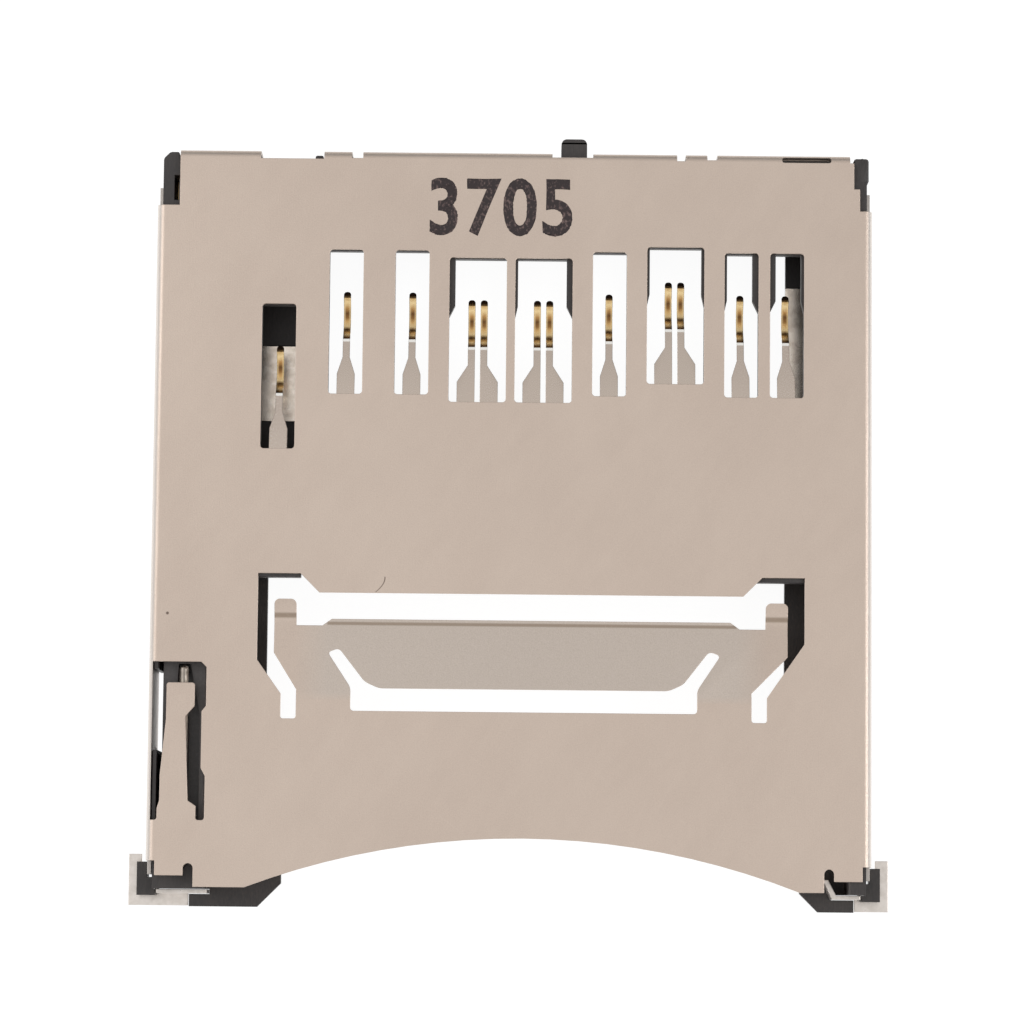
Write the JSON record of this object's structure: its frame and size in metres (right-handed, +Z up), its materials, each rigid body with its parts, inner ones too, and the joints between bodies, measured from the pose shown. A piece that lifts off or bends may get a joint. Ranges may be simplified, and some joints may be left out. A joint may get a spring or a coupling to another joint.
{
  "type": "sd card socket",
  "caption": "Low surface-mount memory card socket with a folded sheet-metal cover, spring contacts above the card, push-push ejector slide, follower wire and solder tabs.",
  "frame": {"origin": "centre of the outline on the circuit board's surface, where the housing floor rests", "axes": "+X to the right seen from above with the card mouth towards the viewer, +Y from the card mouth to the rear, +Z up from the board"},
  "size_m": [0.029, 0.0293, 0.0036],
  "materials": {
    "cover_sheet": "satin rolled sheet",
    "housing_plastic": "moulded, fine matt",
    "contact_strip": "plated spring strip with gold tip",
    "slider_plastic": "moulded, smooth",
    "spring_wire": "drawn wire",
    "switch_strip": "plated spring strip",
    "solder_tab": "tin plated"
  },
  "bodies": {
    "socket_frame": {"housing": "housing_plastic", "cover_shell": "cover_sheet", "contact_9": "contact_strip", "contact_1": "contact_strip", "contact_2": "contact_strip", "contact_3": "contact_strip", "contact_4": "contact_strip", "contact_5": "contact_strip", "contact_6": "contact_strip", "contact_7": "contact_strip", "contact_8": "contact_strip", "detect_switch_spring": "switch_strip", "write_protect_spring": "switch_strip", "detect_switch_terminal": "switch_strip", "write_protect_terminal": "switch_strip", "left_hold_down": "solder_tab", "right_hold_down": "solder_tab", "eject_spring": "spring_wire"},
    "ejector_slide": {"slider": "slider_plastic"},
    "latch_follower": {"cam_follower": "spring_wire"}
  },
  "joints": [
    {"name": "slider_travel", "type": "slide", "parent": "socket_frame", "child": "ejector_slide", "axis": [0, 1, 0], "range_m": [0, 0.0055], "stiffness_N_per_m": 120, "springref_m": -0.004, "deforming": ["eject_spring"]},
    {"name": "follower_swing", "type": "hinge", "parent": "socket_frame", "child": "latch_follower", "pos_m": [-0.0123, -0.01275, 0.0027], "axis": [0, 0, 1], "range_deg": [0, 3.1]}
  ],
  "couplings": [
    {"joint": "follower_swing", "follows": "slider_travel", "rad_per_m": 9.534}
  ]
}
